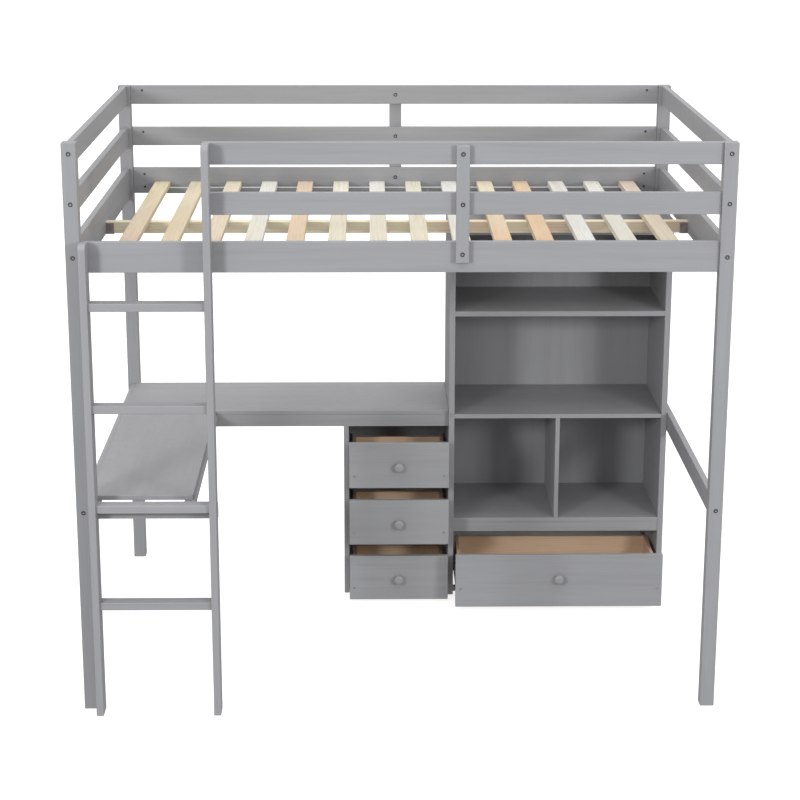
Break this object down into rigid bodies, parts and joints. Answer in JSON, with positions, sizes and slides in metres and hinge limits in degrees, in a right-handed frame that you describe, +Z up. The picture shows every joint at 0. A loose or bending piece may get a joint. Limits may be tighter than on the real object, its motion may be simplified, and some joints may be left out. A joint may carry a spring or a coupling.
{
  "type": "loft bed with desk",
  "caption": "Wooden loft bed with guard rails and slats above an L-shaped desk, a drawer chest, an open bookcase and a vertical ladder.",
  "frame": {"origin": "middle of the whole footprint on the floor, ladder and guard rail supports included", "axes": "+X right along the bed's length, -Y the front with the ladder and drawers, +Z up"},
  "size_m": [2.002, 1.515, 1.8],
  "materials": {
    "grey_paint": "satin light grey paint on pine, faint grain",
    "slat_pine": "planed bare pine, each board its own tone",
    "drawer_pine": "planed bare pine",
    "bolt_steel": "blackened socket bolt heads",
    "zinc_steel": "zinc plated",
    "dark_steel": "dark stamped steel",
    "webbing": "white woven ribbon"
  },
  "bodies": {
    "bed_frame": {"back_guard_rails": "grey_paint", "back_guard_support": "grey_paint", "back_side_rail": "grey_paint", "barrel_nuts": "zinc_steel", "beam_brackets": "dark_steel", "bookcase_cubby_floor": "grey_paint", "bookcase_divider": "grey_paint", "bookcase_front_rails": "grey_paint", "bookcase_left_panels": "grey_paint", "bookcase_middle_shelf": "grey_paint", "bookcase_right_panels": "grey_paint", "bookcase_top": "grey_paint", "bookcase_upper_shelf": "grey_paint", "cabinet_back_panels": "grey_paint", "cabinet_slides": "zinc_steel", "centre_beam": "slat_pine", "chest_cross_rails": "grey_paint", "chest_side_panel": "grey_paint", "desk_aprons": "grey_paint", "desk_battens": "grey_paint", "desk_crossbar": "grey_paint", "desk_return_top": "grey_paint", "desk_top": "grey_paint", "frame_bolts": "bolt_steel", "front_guard_rails": "grey_paint", "front_guard_support": "grey_paint", "front_side_rail": "grey_paint", "ladder_rungs": "grey_paint", "ladder_stile_left": "grey_paint", "ladder_stile_right": "grey_paint", "left_end_guard_rails": "grey_paint", "left_end_side_rail": "grey_paint", "left_end_stretcher": "grey_paint", "mattress_slats": "slat_pine", "panel_screws": "zinc_steel", "post_back_left": "grey_paint", "post_back_right": "grey_paint", "post_front_left": "grey_paint", "post_front_right": "grey_paint", "right_end_guard_rails": "grey_paint", "right_end_side_rail": "grey_paint", "right_end_stretcher": "grey_paint", "slat_cleats": "grey_paint", "slat_ribbons": "webbing"},
    "drawer_top": {"drawer_top_box": "drawer_pine", "drawer_top_front": "grey_paint", "drawer_top_hardware": "zinc_steel", "drawer_top_knob": "grey_paint"},
    "drawer_middle": {"drawer_middle_box": "drawer_pine", "drawer_middle_front": "grey_paint", "drawer_middle_hardware": "zinc_steel", "drawer_middle_knob": "grey_paint"},
    "drawer_bottom": {"drawer_bottom_box": "drawer_pine", "drawer_bottom_front": "grey_paint", "drawer_bottom_hardware": "zinc_steel", "drawer_bottom_knob": "grey_paint"},
    "drawer_wide": {"drawer_wide_box": "drawer_pine", "drawer_wide_front": "grey_paint", "drawer_wide_hardware": "zinc_steel", "drawer_wide_knob": "grey_paint"}
  },
  "joints": [
    {"name": "drawer_top_slide", "type": "slide", "parent": "bed_frame", "child": "drawer_top", "axis": [0, -1, 0], "range_m": [-0.127, 0.093]},
    {"name": "drawer_middle_slide", "type": "slide", "parent": "bed_frame", "child": "drawer_middle", "axis": [0, -1, 0], "range_m": [-0.132, 0.088]},
    {"name": "drawer_bottom_slide", "type": "slide", "parent": "bed_frame", "child": "drawer_bottom", "axis": [0, -1, 0], "range_m": [-0.097, 0.123]},
    {"name": "drawer_wide_slide", "type": "slide", "parent": "bed_frame", "child": "drawer_wide", "axis": [0, -1, 0], "range_m": [-0.175, 0.075]}
  ]
}
